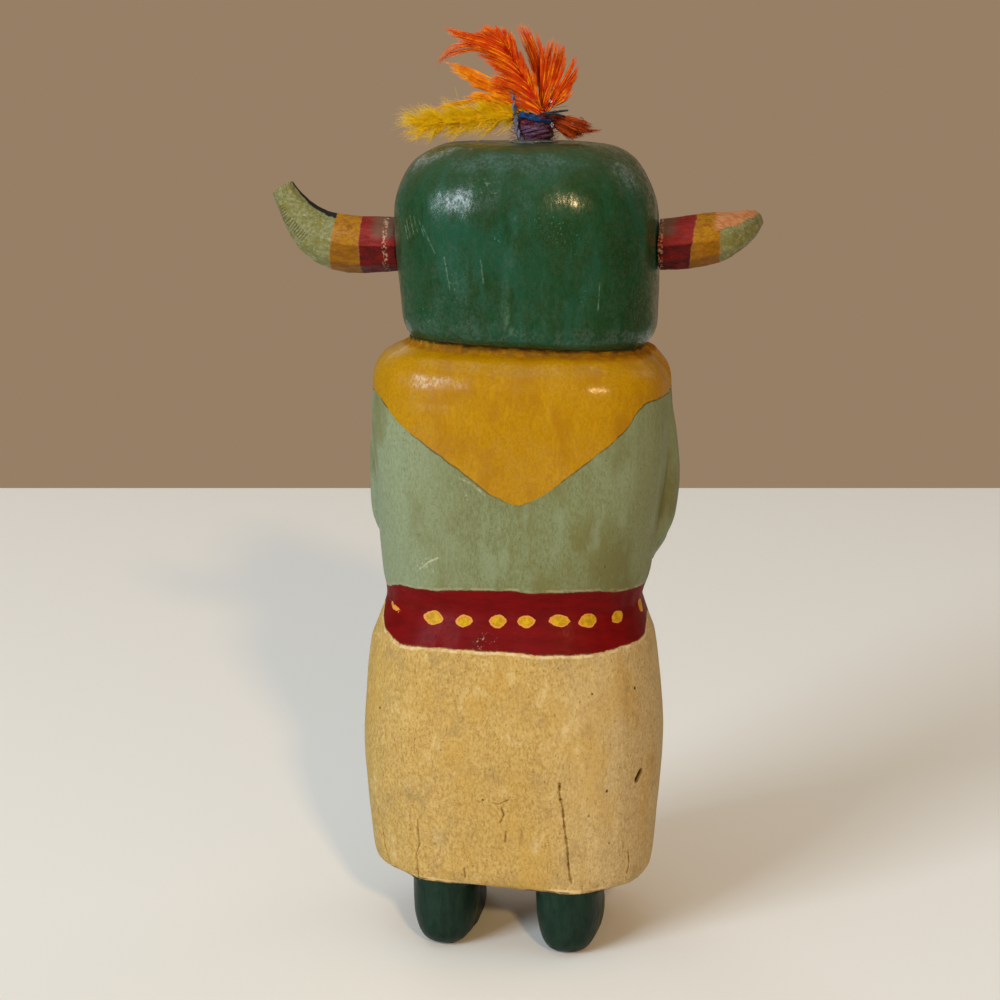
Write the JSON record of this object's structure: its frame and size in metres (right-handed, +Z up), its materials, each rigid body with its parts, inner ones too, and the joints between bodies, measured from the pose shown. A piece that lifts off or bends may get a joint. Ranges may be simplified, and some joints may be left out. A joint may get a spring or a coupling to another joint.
{
  "type": "kachina doll",
  "caption": "Carved and painted wooden doll standing on its own feet, with a flat-topped mask, side horns and a tuft of dyed feathers on its crown.",
  "frame": {"origin": "middle of the doll's outer box, on the plane its soles stand on", "axes": "+Z up, -Y the way the doll faces, +X towards its own left hand"},
  "size_m": [0.1147, 0.0566, 0.2165],
  "materials": {
    "painted_wood": "hand-painted, glossy on the mask, cape and sash, satin on the shirt, bare and matt on the kilt",
    "horn_paint": "knife-cut facets under thin satin paint in bands",
    "yarn": "wound purple and blue yarn, matt",
    "orange_feather": "dyed feather barbs, soft sheen",
    "yellow_feather": "dyed down, matt",
    "rust_feather": "dyed feather barbs, soft sheen"
  },
  "bodies": {
    "root": {"carved_figure": "painted_wood", "left_horn": "horn_paint", "right_horn": "horn_paint", "yarn_wrap": "yarn", "orange_fan_feather": "orange_feather", "orange_plume_feather": "orange_feather", "orange_sweeping_feather": "orange_feather", "orange_low_feather": "orange_feather", "yellow_down_feather": "yellow_feather", "rust_feather": "rust_feather"}
  },
  "joints": []
}
